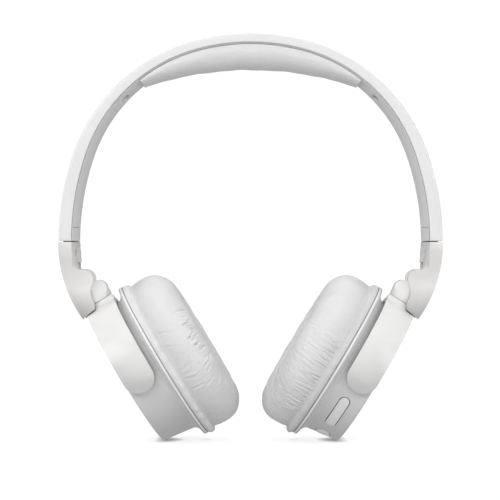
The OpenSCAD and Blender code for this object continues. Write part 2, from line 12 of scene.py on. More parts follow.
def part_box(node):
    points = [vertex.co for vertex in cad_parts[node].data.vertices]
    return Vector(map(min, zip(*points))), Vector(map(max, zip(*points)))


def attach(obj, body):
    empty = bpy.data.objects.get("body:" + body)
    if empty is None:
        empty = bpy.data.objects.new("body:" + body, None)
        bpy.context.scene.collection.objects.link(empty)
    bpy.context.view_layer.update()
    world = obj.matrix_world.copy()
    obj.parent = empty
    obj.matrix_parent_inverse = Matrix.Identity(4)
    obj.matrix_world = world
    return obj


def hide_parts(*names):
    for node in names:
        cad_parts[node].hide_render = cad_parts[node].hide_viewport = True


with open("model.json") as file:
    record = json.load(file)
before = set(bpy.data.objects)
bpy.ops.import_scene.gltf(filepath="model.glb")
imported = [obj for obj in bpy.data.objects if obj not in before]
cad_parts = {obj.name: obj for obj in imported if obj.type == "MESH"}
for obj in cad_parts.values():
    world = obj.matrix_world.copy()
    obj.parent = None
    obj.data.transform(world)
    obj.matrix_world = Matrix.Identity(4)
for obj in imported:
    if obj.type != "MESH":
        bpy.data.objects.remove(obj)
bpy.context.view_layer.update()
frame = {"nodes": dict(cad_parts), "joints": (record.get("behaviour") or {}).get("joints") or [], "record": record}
NODES = frame["nodes"]
MM = 0.001
SIDES = ("left", "right")

# ---------------------------------------------------------------- camera, stage and lights

CAMERA_DISTANCE = 0.950
CAMERA_HEIGHT = 0.0815
CAMERA_SHIFT = -0.00026
VIEW_WIDTH = 0.215  # what the camera sees from side to side at the origin
SENSOR = 36.0


def make_camera():
    data = bpy.data.cameras.new("camera")
    data.sensor_width = SENSOR
    data.lens = SENSOR * CAMERA_DISTANCE / VIEW_WIDTH
    data.clip_start = 0.05
    data.clip_end = 40
    camera = bpy.data.objects.new("camera", data)
    camera.location = (CAMERA_SHIFT, -CAMERA_DISTANCE, CAMERA_HEIGHT)
    camera.rotation_euler = (math.radians(90), 0, 0)
    bpy.context.scene.collection.objects.link(camera)
    bpy.context.scene.camera = camera


LAMPS = {  # place, size and power of each soft box
    "overhead": ((0.0, -0.15, 1.5), 1.6, 8.0),
    "behind": ((0.0, 0.8, 1.2), 1.2, 6.0),
    "front_left": ((-1.1, -1.3, 0.9), 0.9, 10.0),
    "front_right": ((1.2, -1.2, 0.7), 0.9, 7.0),
    "front": ((0.0, -1.9, 0.5), 1.4, 11.0),
    "side_left": ((-1.5, 0.1, 0.3), 0.8, 7.0),
    "side_right": ((1.5, 0.1, 0.3), 0.8, 5.5),
}
LAMP_AIM = Vector((0, 0, 0.08))  # the middle of the object


def make_lights():
    for name, (place, size, power) in LAMPS.items():
        data = bpy.data.lights.new(name, "AREA")
        data.size = size
        data.energy = power
        light = bpy.data.objects.new(name, data)
        light.location = place
        light.rotation_euler = (LAMP_AIM - Vector(place)).to_track_quat("-Z", "Y").to_euler()
        bpy.context.scene.collection.objects.link(light)


SKY = (-0.5, 0.3, 0.50, 0.22)  # heights between which the room's light fades, and its strength at them


def make_world():
    """Even white room; what comes from below stands for the light that the floor throws back."""
    world = bpy.data.worlds.new("studio")
    bpy.context.scene.world = world
    world.use_nodes = True
    tree = world.node_tree
    coord = tree.nodes.new("ShaderNodeTexCoord")
    split = tree.nodes.new("ShaderNodeSeparateXYZ")
    height = tree.nodes.new("ShaderNodeMapRange")
    height.interpolation_type = "SMOOTHSTEP"
    for socket, value in zip(("From Min", "From Max", "To Min", "To Max"), SKY):
        height.inputs[socket].default_value = value
    tree.links.new(coord.outputs["Generated"], split.inputs[0])
    tree.links.new(split.outputs["Z"], height.inputs["Value"])
    background = tree.nodes["Background"]
    background.inputs["Color"].default_value = (1, 1, 1, 1)
    tree.links.new(height.outputs[0], background.inputs["Strength"])


STAGE_WHITE = 1.05
PAPER_WHITE = 1.025
PAPER_OPENNESS = (0.05, 0.95)  # from fully covered to fully open
FLOOR_SHADOWS = ((0.0036, 0.30), (0.012, 0.86))  # reach and brightness of the near and the wide shadow
FLOOR_R = 6
BACKDROP_R = 8


def glow_material(name, strength=0.0):
    """Black paint that only gives off light, so that lamps don't change how it looks."""
    made = bpy.data.materials.new(name)
    made.use_nodes = True
    shader = made.node_tree.nodes["Principled BSDF"]
    shader.inputs["Base Color"].default_value = (0, 0, 0, 1)
    shader.inputs["Roughness"].default_value = 0.8
    shader.inputs["Specular IOR Level"].default_value = 0
    shader.inputs["Emission Color"].default_value = (1, 1, 1, 1)
    shader.inputs["Emission Strength"].default_value = strength
    return made


def floor_material():
    """White paper that gives off light, with a painted shadow only where the object stands close over it."""
    made = glow_material("floor_white")
    tree = made.node_tree
    levels = []
    for reach, dark in FLOOR_SHADOWS:
        openness = tree.nodes.new("ShaderNodeAmbientOcclusion")
        openness.samples = 24
        openness.inputs["Distance"].default_value = reach
        level = tree.nodes.new("ShaderNodeMapRange")
        level.inputs["From Min"].default_value = PAPER_OPENNESS[0]
        level.inputs["From Max"].default_value = PAPER_OPENNESS[1]
        level.inputs["To Min"].default_value = dark
        level.inputs["To Max"].default_value = PAPER_WHITE
        tree.links.new(openness.outputs["AO"], level.inputs["Value"])
        levels.append(level.outputs[0])
    both = tree.nodes.new("ShaderNodeMath")
    both.operation = "MULTIPLY"
    tree.links.new(levels[0], both.inputs[0])
    tree.links.new(levels[1], both.inputs[1])
    tree.links.new(both.outputs[0], tree.nodes["Principled BSDF"].inputs["Emission Strength"])
    return made


def seen_only(obj):
    """The camera sees it, and it takes shadows, but it lights nothing."""
    obj.visible_diffuse = False
    obj.visible_glossy = False
    obj.visible_shadow = False
    obj.visible_transmission = False


def make_stage():
    bpy.ops.mesh.primitive_circle_add(vertices=96, radius=FLOOR_R, fill_type="NGON")
    floor = bpy.context.object
    floor.name = "floor"
    floor.data.materials.append(floor_material())
    seen_only(floor)
    bpy.ops.mesh.primitive_uv_sphere_add(segments=64, ring_count=32, radius=BACKDROP_R)
    backdrop = bpy.context.object
    backdrop.name = "backdrop"
    backdrop.data.materials.append(glow_material("backdrop_white", STAGE_WHITE))
    seen_only(backdrop)
    bpy.context.scene.view_settings.view_transform = "Standard"


# ---------------------------------------------------------------- materials


class Nodes:
    """Short names for the nodes that the materials are made of."""

    def __init__(self, name):
        self.material = bpy.data.materials.new(name)
        self.material.use_nodes = True
        self.tree = self.material.node_tree
        self.shader = self.tree.nodes["Principled BSDF"]
        self.place = self.add("ShaderNodeTexCoord").outputs["Object"]

    def add(self, kind, links=None, **values):
        node = self.tree.nodes.new(kind)
        for key, value in values.items():
            setattr(node, key, value)
        for socket, value in (links or {}).items():
            self.put(node.inputs[socket], value)
        return node

    def put(self, socket, value):
        if isinstance(value, bpy.types.NodeSocket):
            self.tree.links.new(value, socket)
        elif isinstance(value, tuple) and len(value) == 3 and socket.type == "RGBA":
            socket.default_value = (*value, 1)
        else:
            socket.default_value = value

    def stretch(self, scale, turn=(0, 0, 0)):
        links = {"Vector": self.place, "Scale": scale, "Rotation": turn}
        return self.add("ShaderNodeMapping", links).outputs[0]

    def noise(self, scale, detail=3, rough=0.5, vector=None, distortion=0.0):
        links = {"Vector": vector or self.place, "Scale": scale, "Detail": detail}
        links.update({"Roughness": rough, "Distortion": distortion})
        return self.add("ShaderNodeTexNoise", links).outputs["Fac"]

    def cells(self, scale, feature="F1", vector=None, random=1.0):
        links = {"Vector": vector or self.place, "Scale": scale, "Randomness": random}
        return self.add("ShaderNodeTexVoronoi", links, feature=feature).outputs["Distance"]

    def wave(self, scale, vector, distortion=0.0, direction="X"):
        links = {"Vector": vector, "Scale": scale, "Distortion": distortion}
        return self.add("ShaderNodeTexWave", links, bands_direction=direction).outputs["Fac"]

    def ranged(self, value, low, high, from_low=0.0, from_high=1.0):
        links = {"Value": value, "From Min": from_low, "From Max": from_high, "To Min": low, "To Max": high}
        return self.add("ShaderNodeMapRange", links).outputs[0]

    def maths(self, operation, a, b=0.0):
        return self.add("ShaderNodeMath", {0: a, 1: b}, operation=operation).outputs[0]

    def mix(self, factor, a, b, blend="MIX"):
        node = self.add("ShaderNodeMix", data_type="RGBA", blend_type=blend)
        self.put(node.inputs["Factor"], factor)
        self.put(node.inputs["A"], a)
        self.put(node.inputs["B"], b)
        return node.outputs["Result"]

    def bump(self, height, distance, strength=1.0, normal=None):
        links = {"Height": height, "Distance": distance, "Strength": strength}
        if normal is not None:
            links["Normal"] = normal
        return self.add("ShaderNodeBump", links).outputs[0]

    def painted_crevice_shade(self, base, dark=0.3, reach=0.0011):
        """Painted shade: darkens the colour inside seams and narrow gaps, where less light reaches."""
        openness = self.add("ShaderNodeAmbientOcclusion", {"Distance": reach}, samples=8).outputs["AO"]
        return self.mix(1.0, base, self.ranged(openness, dark, 1, 0.22, 0.6), blend="MULTIPLY")

    def axis(self, name):
        return self.add("ShaderNodeSeparateXYZ", {0: self.place}).outputs[name]

    def fade(self, dark, low, high):
        """From dark at height low to 1 at height high."""
        return self.ranged(self.axis("Z"), dark, 1.0, low, high)

    def set(self, **values):
        for key, value in values.items():
            self.put(self.shader.inputs[key.replace("_", " ")], value)


SHELL_LOW, SHELL_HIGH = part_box("headband_shell")
ARM_TOP = SHELL_LOW.z - 0.5 * MM
SIDE_T = 5.5 * MM


def shade(colour, share):
    return tuple(c * share for c in colour)


def plastic(name, colour, rough, grain=0.00002, wear=0.06, sway=0.00003, painted_shade=None, seams=(0.3, 0.0011)):
    """Moulded plastic: slight clouding of the colour, fine texture, and faint waves of the mould.

    grain and sway are the heights of the texture and the waves, wear is how much the roughness varies,
    and seams says how dark the painted shade in narrow gaps is and how wide it may reach."""
    n = Nodes(name)
    clouds = n.noise(45, detail=4)
    speck = n.noise(2600, detail=2)
    base = n.mix(n.ranged(clouds, 0, 1, 0.3, 0.7), shade(colour, 0.985), shade(colour, 1.01))
    base = n.mix(n.ranged(speck, 0, 0.06, 0.55, 0.8), base, shade(colour, 0.86))
    # painted shade in seams and narrow gaps
    base = n.painted_crevice_shade(base, *seams)
    # painted shade of the piece, multiplied into its colour
    if painted_shade:
        base = n.mix(1.0, base, painted_shade(n), blend="MULTIPLY")
    fine = n.bump(n.noise(5000, detail=3, rough=0.6), grain)
    waves = n.bump(n.noise(70, detail=2), sway, normal=fine)
    scuffs = n.noise(260, detail=5, rough=0.7, distortion=0.4)
    n.set(Base_Color=base, Normal=waves, Roughness=n.ranged(scuffs, rough - wear, rough + wear, 0.3, 0.7))
    return n.material


CUP_SEAM_SHADE = (0.45, 0.005)  # wide, for the shade that the yoke throws on the housing
# Painted shade: how dark a piece is at its lower end, and the heights between which that fades.
CUP_FADE = (0.80, 2 * MM, 24 * MM)
YOKE_FADE = (0.72, 25 * MM, 44 * MM)
ARM_FADE = (0.5, 52.5 * MM, 65.5 * MM)
ARM_INNER_DARK = 0.8  # painted shade on the arm's inner side, above the fold hinge
ARM_INNER_FROM = (73.5 * MM, 75.5 * MM)
ARM_STEP_DARK = 0.06  # painted shadow on the step inside the seam at the arm's top


def cup_shading(n):
    """Darker towards the floor, as the housing is between its own shadow and the floor's."""
    return n.fade(*CUP_FADE)


def yoke_shading(n):
    """Painted shade: darker towards the ends that hold the cup."""
    return n.fade(*YOKE_FADE)


def arm_shading(n):
    """Painted shade: darker at the lower end and on the inner side, and a painted shadow, nearly black, on the
    step at the top.
    """
    height = n.axis("Z")
    seam = n.maths("LESS_THAN", height, ARM_TOP + 0.05 * MM)
    sideways = n.maths("ABSOLUTE", n.axis("X"))
    inner = n.maths("LESS_THAN", sideways, SHELL_HIGH.x - SIDE_T - 0.15 * MM)
    inner = n.maths("MULTIPLY", inner, n.ranged(height, 0, 1, *ARM_INNER_FROM))
    made = n.maths("MULTIPLY", n.fade(*ARM_FADE), n.ranged(inner, 1.0, ARM_INNER_DARK))
    return n.maths("MULTIPLY", made, n.ranged(seam, ARM_STEP_DARK, 1.0))


def cushion_shading(n):
    """Painted shade: darker in the dip behind the welt, where the seam pulls the cover in, and on the right welt.
    """
    matrix = cup_frame("right")
    ear = matrix.to_3x3().col[2]
    along_x = n.maths("MULTIPLY", n.maths("ABSOLUTE", n.axis("X")), ear.x)
    along_z = n.maths("MULTIPLY", n.axis("Z"), ear.z)
    depth = n.maths("SUBTRACT", n.maths("ADD", along_x, along_z), matrix.translation.dot(ear))
    welt = n.maths("LESS_THAN", depth, (SEAM_POINT[1] - 0.15) * MM)
    welt = n.maths("MULTIPLY", welt, n.ranged(n.axis("X"), 1.0, RIGHT_WELT_DARK, -0.01, 0.01))
    wall = n.ranged(depth, SEAM_DARK, 1.0, SEAM_POINT[1] * MM, (SEAM_POINT[1] + SEAM_FADE) * MM)
    return n.maths("MAXIMUM", welt, wall)


def leather(name, colour, rough=0.46, grain=0.00007, pebbles=1500, painted_shade=None):
    """Soft leatherette: pebbles with fine creases between them, and larger soft folds in the gloss."""
    n = Nodes(name)
    warp = n.noise(500, detail=2)
    bent = n.add("ShaderNodeVectorMath", {0: n.place, 1: n.maths("MULTIPLY", warp, 0.0006)}, operation="ADD")
    pebble = n.cells(pebbles, feature="DISTANCE_TO_EDGE", vector=bent.outputs[0])
    grooves = n.ranged(pebble, 0, 1, 0.0, 0.28)
    pores = n.noise(pebbles * 3.4, detail=2)
    clouds = n.noise(60, detail=4, rough=0.6)
    base = n.mix(n.ranged(clouds, 0, 1, 0.3, 0.7), shade(colour, 0.965), shade(colour, 1.02))
    base = n.mix(n.ranged(grooves, 0.16, 0.0), base, shade(colour, 0.78))
    # painted shade in seams and narrow gaps
    base = n.painted_crevice_shade(base, dark=0.55)
    # painted shade of the piece, multiplied into its colour
    if painted_shade:
        base = n.mix(1.0, base, painted_shade(n), blend="MULTIPLY")
    surface = n.bump(pores, grain * 0.3)
    surface = n.bump(grooves, grain, normal=surface)
    surface = n.bump(n.noise(190, detail=3, rough=0.55, distortion=0.8), grain * 3.4, normal=surface)
    shine = n.noise(330, detail=4, rough=0.65)
    n.set(Base_Color=base, Normal=surface, Roughness=n.ranged(shine, rough - 0.06, rough + 0.1, 0.3, 0.7))
    n.set(Sheen_Weight=0.12, Sheen_Roughness=0.4)
    return n.material


def metal(name, colour, rough, along=(400, 400, 9000)):
    """Brushed or plated metal: long fine scratches, and patches of a different polish."""
    n = Nodes(name)
    lines = n.noise(1.0, detail=4, rough=0.7, vector=n.stretch(along))
    patches = n.noise(180, detail=3)
    base = n.mix(n.ranged(lines, 0, 1, 0.3, 0.7), shade(colour, 0.86), shade(colour, 1.06))
    gloss = n.maths("ADD", n.ranged(lines, rough - 0.06, rough + 0.06), n.ranged(patches, -0.04, 0.06))
    n.set(Base_Color=base, Metallic=1.0, Roughness=gloss, Normal=n.bump(lines, 0.00002))
    return n.material


def cloth(name, colour):
    """Fine woven speaker cloth: two sets of threads with dark gaps between them."""
    n = Nodes(name)
    warp = n.wave(520, n.place, direction="Y")
    weft = n.wave(610, n.place, direction="Z")
    threads = n.maths("MAXIMUM", warp, weft)
    gaps = n.maths("MULTIPLY", warp, weft)
    base = n.mix(n.ranged(threads, 0, 1, 0.1, 0.7), shade(colour, 0.25), colour)
    base = n.mix(n.ranged(n.noise(2400), 0, 0.35), base, shade(colour, 0.7))
    n.set(Base_Color=base, Roughness=0.85, Normal=n.bump(gaps, 0.00012))
    n.set(Sheen_Weight=0.2, Sheen_Roughness=0.6)
    return n.material


def film(name, colour):
    """Driver diaphragm: thin film with fine rings pressed into it."""
    n = Nodes(name)
    rings = n.wave(700, n.place, distortion=0.6, direction="Z")
    base = n.mix(n.noise(300, detail=3), shade(colour, 0.85), shade(colour, 1.1))
    n.set(Base_Color=base, Roughness=n.ranged(rings, 0.22, 0.34), Normal=n.bump(rings, 0.00004))
    return n.material


BOARD_LEAN = 0.54  # radians that the board leans with its cup


def board(name, colour):
    """Solder mask over copper traces, with bare pads between them."""
    n = Nodes(name)
    flat = n.stretch((1, 1, 1), (0, BOARD_LEAN, 0))
    squares = n.cells(420, vector=flat, random=0.75)
    links = {"Vector": flat, "Scale": 160, "Mortar Size": 0.04}
    links.update({"Color1": (0, 0, 0), "Color2": (0.1, 0.1, 0.1), "Mortar": (1, 1, 1)})
    traces = n.add("ShaderNodeTexBrick", links)
    base = n.mix(traces.outputs["Color"], colour, shade(colour, 2.2))
    pads = n.ranged(squares, 1, 0, 0.05, 0.1)
    base = n.mix(pads, base, (0.75, 0.6, 0.3))
    n.set(Base_Color=base, Roughness=0.35, Normal=n.bump(traces.outputs["Fac"], 0.00005))
    return n.material


def wrap(name, colour):
    """Shrink wrap of the battery: glossy, with small tucks."""
    n = Nodes(name)
    tucks = n.noise(1.0, detail=4, vector=n.stretch((160, 500, 160)), distortion=0.6)
    base = n.mix(n.noise(90), shade(colour, 0.85), shade(colour, 1.15))
    n.set(Base_Color=base, Roughness=n.ranged(tucks, 0.22, 0.38), Normal=n.bump(tucks, 0.00015))
    return n.material


def light_pipe(name, colour):
    """Frosted lens of the status light."""
    n = Nodes(name)
    frost = n.noise(7000, detail=3)
    base = n.mix(frost, shade(colour, 0.9), colour)
    n.set(Base_Color=base, Roughness=n.ranged(frost, 0.3, 0.5), Normal=n.bump(frost, 0.00002))
    n.set(Subsurface_Weight=0.3, Subsurface_Scale=0.001)
    return n.material


# The bow and the yokes are smoother than the rest, and the painted shade in the seams of the bow and the liner is
# finer: lighter and narrower.
BAND_SEAM_SHADE = (0.8, 0.0006)
BAND = {"grain": 0.000005, "wear": 0.012, "sway": 0.00001, "seams": BAND_SEAM_SHADE}
YOKE = {"grain": 0.000006, "wear": 0.015, "sway": 0.00001, "painted_shade": yoke_shading}
LOOKS = {  # maker, colour and the maker's own values
    "band_plastic": (plastic, (0.80, 0.80, 0.80), {"rough": 0.30, **BAND}),
    "arm_plastic": (plastic, (0.80, 0.785, 0.775), {"rough": 0.2, "grain": 0.00001, "painted_shade": arm_shading}),
    "liner_plastic": (plastic, (0.70, 0.70, 0.70), {"rough": 0.45, "grain": 0.00004, "seams": BAND_SEAM_SHADE}),
    "yoke_plastic": (plastic, (0.82, 0.815, 0.807), {"rough": 0.25, **YOKE}),
    "cup_plastic": (plastic, (0.74, 0.74, 0.74), {"rough": 0.33, "painted_shade": cup_shading, "seams": CUP_SEAM_SHADE}),
    # a lighter copy of the housing's plastic: painted light on the baffle's rim
    "baffle_plastic": (plastic, (0.84, 0.84, 0.84), {"rough": 0.33}),
    "cap_plastic": (plastic, (0.80, 0.80, 0.80), {"rough": 0.42, "grain": 0.00004}),
    "button_plastic": (plastic, (0.82, 0.82, 0.82), {"rough": 0.25}),
    "dark_plastic": (plastic, (0.045, 0.045, 0.05), {"rough": 0.5, "grain": 0.00005}),
    "cushion_clip_plastic": (plastic, (0.68, 0.68, 0.68), {"rough": 0.5}),
    "pad_leather": (leather, (0.84, 0.84, 0.84), {}),
    "cushion_leather": (leather, (0.80, 0.80, 0.80), {"painted_shade": cushion_shading}),
    "steel": (metal, (0.60, 0.60, 0.62), {"rough": 0.3}),
    "magnet": (metal, (0.66, 0.66, 0.68), {"rough": 0.16, "along": (900, 900, 900)}),
    "speaker_cloth": (cloth, (0.55, 0.55, 0.56), {}),
    "driver_film": (film, (0.5, 0.5, 0.52), {}),
    "circuit_laminate": (board, (0.03, 0.20, 0.10), {}),
    "battery_wrap": (wrap, (0.12, 0.25, 0.48), {}),
    "light_pipe": (light_pipe, (0.88, 0.88, 0.88), {}),
}


def make_materials():
    return {name: maker(name, colour, **values) for name, (maker, colour, values) in LOOKS.items()}


SLOTS = {part["node"]: part["material_slot"] for part in frame["record"]["subparts"]}
# The arms get a copy of their plastic with painted shade, and the baffles a lighter copy with painted light on the
# rim.
OWN_MATERIAL = {
    "left_arm": "arm_plastic",
    "right_arm": "arm_plastic",
    "left_baffle": "baffle_plastic",
    "right_baffle": "baffle_plastic",
}


def paint_frame(materials):
    for name, node in NODES.items():
        chosen = materials[OWN_MATERIAL.get(name, SLOTS[name])]
        for entry in node.material_slots:
            entry.link = "OBJECT"
            entry.material = chosen


# ---------------------------------------------------------------- mesh helpers


def loft(name, rings, closed=False, rim=0.25 * MM):
    """Mesh through rings of points. closed joins the last ring to the first; otherwise the ends are capped
    and their edges rounded by rim."""
    count, size = rings.shape[:2]
    faces = []
    for i in range(count if closed else count - 1):
        a, b = i * size, (i + 1) % count * size
        faces += [(a + j, a + (j + 1) % size, b + (j + 1) % size, b + j) for j in range(size)]
    if not closed:
        faces += [tuple(range(size)), tuple(range((count - 1) * size, count * size))]
    mesh = bpy.data.meshes.new(name)
    mesh.from_pydata(rings.reshape(-1, 3).tolist(), [], faces)
    bm = bmesh.new()
    bm.from_mesh(mesh)
    bmesh.ops.recalc_face_normals(bm, faces=bm.faces)
    if not closed and rim:
        ends = [f for f in bm.faces if len(f.verts) > 4]
        rims = list({e for f in ends for e in f.edges})
        bmesh.ops.bevel(bm, geom=rims, offset=rim, segments=3, profile=0.5, affect="EDGES")
    bm.to_mesh(mesh)
    bm.free()
    obj = bpy.data.objects.new(name, mesh)
    bpy.context.scene.collection.objects.link(obj)
    return obj


def place_piece(obj, body, slot, *stands_for, sharp=32):
    """Shading, material and body of a new piece."""
    obj.data.materials.clear()
    obj.data.materials.append(MATERIALS[slot])
    obj.data.shade_smooth()
    obj.data.set_sharp_from_angle(angle=math.radians(sharp))
    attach(obj, body)
    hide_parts(*stands_for)
    return obj


def cut_away(obj, *cutters):
    """Takes the cutters' shapes out of obj and removes them."""
    for cutter in cutters:
        cut = obj.modifiers.new("cut", "BOOLEAN")
        cut.object = cutter
        cut.solver = "EXACT"
    evaluated = obj.evaluated_get(bpy.context.evaluated_depsgraph_get())
    mesh = bpy.data.meshes.new_from_object(evaluated)
    obj.modifiers.clear()
    obj.data = mesh
    for cutter in cutters:
        bpy.data.objects.remove(cutter)


FINE_STEPS = 16  # of the smooth curve between two given points
CORNER_STEPS = 5


def through(points, count):
    """Points evenly spaced along a smooth closed curve through the given ones (Catmull-Rom)."""
    p = np.array(points, float)
    steps = np.linspace(0, 1, FINE_STEPS, endpoint=False)[:, None]
    before, after, beyond = np.roll(p, 1, 0), np.roll(p, -1, 0), np.roll(p, -2, 0)
    fine = []
    for a, b, c, d in zip(before, p, after, beyond):
        curve = 2 * b + (c - a) * steps + (2 * a - 5 * b + 4 * c - d) * steps**2
        fine.append((curve + (3 * b - a - 3 * c + d) * steps**3) / 2)
    fine = np.vstack(fine + [p[:1]])
    along = np.r_[0, np.cumsum(np.linalg.norm(np.diff(fine, axis=0), axis=1))]
    even = np.linspace(0, along[-1], count, endpoint=False)
    return np.column_stack([np.interp(even, along, fine[:, 0]), np.interp(even, along, fine[:, 1])]), even


def corner(y, inset, ry, ri):
    """Quarter-round corner between a side that ends at y and a face that ends at inset."""
    turn = np.linspace(0, math.pi / 2, CORNER_STEPS)
    return [(y - ry * (1 - math.sin(a)), inset - ri * (1 - math.cos(a))) for a in turn]


# ---------------------------------------------------------------- headband

TURNS = np.radians([0, 15, 71, 90])  # the outer curve is three arcs on each side
OUTER_RADII = np.array([91.5, 75.3, 114.4]) * MM
CROWN_T = 3.9 * MM
BAND_HALF_W = SHELL_HIGH.y
BAND_OUTER_R = 1.1 * MM
BAND_INNER_R = 0.35 * MM
LENS_HALF_W = 12.3 * MM  # the liner's section is a flat lens
LENS_T = 2.7 * MM
LENS_EDGE = 0.3 * MM
LENS_BACK = 0.1 * MM
LENS_STEPS = 12
GROOVE_HALF_W = 6.6 * MM  # for the spring and the steel strips, between the bow and the liner
GROOVE_DEPTH = 0.9 * MM  # in each of the two
GUIDE_TOP = 91.2 * MM
GUIDE_SEAM = 0.15 * MM
GUIDE_STEPS = 12
WINDOW_HEADING = math.radians(46.5)
WINDOW_L = 3.8 * MM  # along the band; across it, the opening is a third longer
WINDOW_Y = 6.4 * MM
WINDOW_REACH = (4 * MM, -0.5 * MM)  # insets between which the liner is cut


def arc_spans():
    """How far the three arcs reach along X and down, per unit of their radii."""
    sines, cosines = np.sin(TURNS), np.cos(TURNS)
    return np.diff(sines), -np.diff(cosines)


def inner_radii():
    """Radii of the inner curve, which is CROWN_T thick at the top and SIDE_T at the ends."""
    across, down = arc_spans()
    crown = OUTER_RADII[0] - CROWN_T
    end_x = OUTER_RADII @ across - SIDE_T - crown * across[0]
    end_z = OUTER_RADII @ down - CROWN_T - crown * down[0]
    shoulder, side = np.linalg.solve([across[1:], down[1:]], [end_x, end_z])
    return np.array([crown, shoulder, side])


CURVES = {"outer": (SHELL_HIGH.z, OUTER_RADII), "inner": (SHELL_HIGH.z - CROWN_T, inner_radii())}


def arc_centres(curve):
    top, radii = CURVES[curve]
    first = np.array([0.0, top - radii[0]])
    second = first + (radii[0] - radii[1]) * np.array([math.sin(TURNS[1]), math.cos(TURNS[1])])
    third = second + (radii[1] - radii[2]) * np.array([math.sin(TURNS[2]), math.cos(TURNS[2])])
    return [first, second, third]


def band_point(curve, heading, inset):
    """X and Z on a curve of the band, inset towards the head; heading is from the crown."""
    a = abs(heading)
    arc = 0 if a <= TURNS[1] else 1 if a <= TURNS[2] else 2
    x, z = arc_centres(curve)[arc] + (CURVES[curve][1][arc] - inset) * np.array([math.sin(a), math.cos(a)])
    return math.copysign(x, heading), z


def heading_at(curve, inset, z):
    """Heading at which the side arc comes down to height z."""
    return math.acos((z - arc_centres(curve)[2][1]) / (CURVES[curve][1][2] - inset))


def sweep_band(name, ring, low, high=None, side=1, steps=200, rim=0):
    """Carries a ring of (y, curve, inset) along the band: all above low, or one side from high to low."""
    rings = []
    for t in np.linspace(0, 1, steps):
        row = []
        for y, curve, inset in ring:
            end = heading_at(curve, inset, low)
            start = -end if high is None else heading_at(curve, inset, high)
            x, z = band_point(curve, start + t * (end - start), inset)
            row.append((side * x, y, z))
        rings.append(row)
    return loft(name, np.array(rings), rim=rim)


def both_halves(half):
    """Closes a ring given for y above zero with its mirror image."""
    return half + [(-y, curve, inset) for y, curve, inset in reversed(half)]


def make_shell():
    outer_corner = corner(BAND_HALF_W, 0, BAND_OUTER_R, -BAND_OUTER_R)
    inner_corner = corner(BAND_HALF_W, 0, BAND_INNER_R, BAND_INNER_R)
    half = [(y, "outer", inset) for y, inset in outer_corner]
    half += [(y, "inner", inset) for y, inset in reversed(inner_corner)]
    half += [(GROOVE_HALF_W, "inner", 0), (GROOVE_HALF_W, "inner", -GROOVE_DEPTH)]
    shell = sweep_band("headband_shell_moulding", both_halves(half), SHELL_LOW.z, rim=0.08 * MM)
    place_piece(shell, "headband", "band_plastic", "headband_shell")


def lens_inset(y):
    """How far the crowned face of the liner lies under the inner curve of the band."""
    return LENS_BACK + LENS_EDGE + (LENS_T - LENS_EDGE) * (1 - (y / LENS_HALF_W) ** 2)


def lens_ring():
    """Crowned section of the liner, with a groove behind for the spring and the steel strips."""
    back, bevel = LENS_BACK, 0.1 * MM
    half = [(GROOVE_HALF_W, "inner", back + GROOVE_DEPTH), (GROOVE_HALF_W, "inner", back)]
    half += [(LENS_HALF_W - bevel, "inner", back), (LENS_HALF_W, "inner", back + bevel)]
    for t in np.linspace(1, 0, LENS_STEPS, endpoint=False):
        half.append((t * LENS_HALF_W, "inner", lens_inset(t * LENS_HALF_W)))
    return both_halves(half)


def window_cutter(side, across):
    """Small opening with round ends in the liner, just below the end of the pad."""
    outline = []
    for turn in np.linspace(0, 2 * math.pi, 48, endpoint=False):
        y = WINDOW_L / 2 * math.sin(turn) + math.copysign(WINDOW_L / 6, math.sin(turn))
        outline.append((WINDOW_L / 2 * math.cos(turn), y + across))
    rings = []
    for inset in WINDOW_REACH:
        x, z = band_point("inner", WINDOW_HEADING, inset)
        lean = np.array([math.cos(WINDOW_HEADING), -math.sin(WINDOW_HEADING)])
        rings.append([(side * (x + lean[0] * u), y, z + lean[1] * u) for u, y in outline])
    return loft("cutter", np.array(rings))


def make_liner():
    liner = sweep_band("headband_liner_moulding", lens_ring(), GUIDE_TOP)
    cut_away(liner, *[window_cutter(side, across) for side in (1, -1) for across in (WINDOW_Y, -WINDOW_Y)])
    place_piece(liner, "headband", "liner_plastic", "headband_liner")
    for name, side in zip(SIDES, (-1, 1)):
        top = GUIDE_TOP - GUIDE_SEAM
        guide = sweep_band(f"{name}_guide_moulding", lens_ring(), SHELL_LOW.z, top, side, GUIDE_STEPS)
        place_piece(guide, "headband", "liner_plastic", f"{name}_slider_guide")


# ---------------------------------------------------------------- headband pad

PAD_HALF_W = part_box("headband_pad")[1].y
PAD_R = 145 * MM
PAD_ARC_BOTTOM = 158.9 * MM
PAD_END = math.radians(38.5)
PAD_SEAM = 0.8 * MM  # how far under the band the cover is sewn
PAD_LEAST = 2.8 * MM
PAD_ROUND = 0.82  # below 1, the section is fuller than an ellipse
PAD_TUCK = 0.55 * MM  # how far the sides are drawn in at the seam
PAD_TUCK_REACH = 0.4  # how far down that goes, as a share of the depth
PAD_SWELLS = ((0.012, 23, 0), (0.008, 51, 1))  # share of the depth, rate and start of the waves along it
PAD_STEPS = 181
PAD_FACE_POINTS = 57
PAD_BACK_POINTS = 15


def pad_depth(heading):
    """Where the cover is sewn, the way to the head, and how thick the pad is under one wide arc."""
    top = np.array(band_point("inner", heading, PAD_SEAM))
    inward = -np.array([math.sin(heading), math.cos(heading)])
    reach = top - np.array([0.0, PAD_ARC_BOTTOM - PAD_R])
    along = reach @ inward
    depth = -along - math.sqrt(along**2 - reach @ reach + PAD_R**2)
    return top, inward, max(depth, PAD_LEAST)


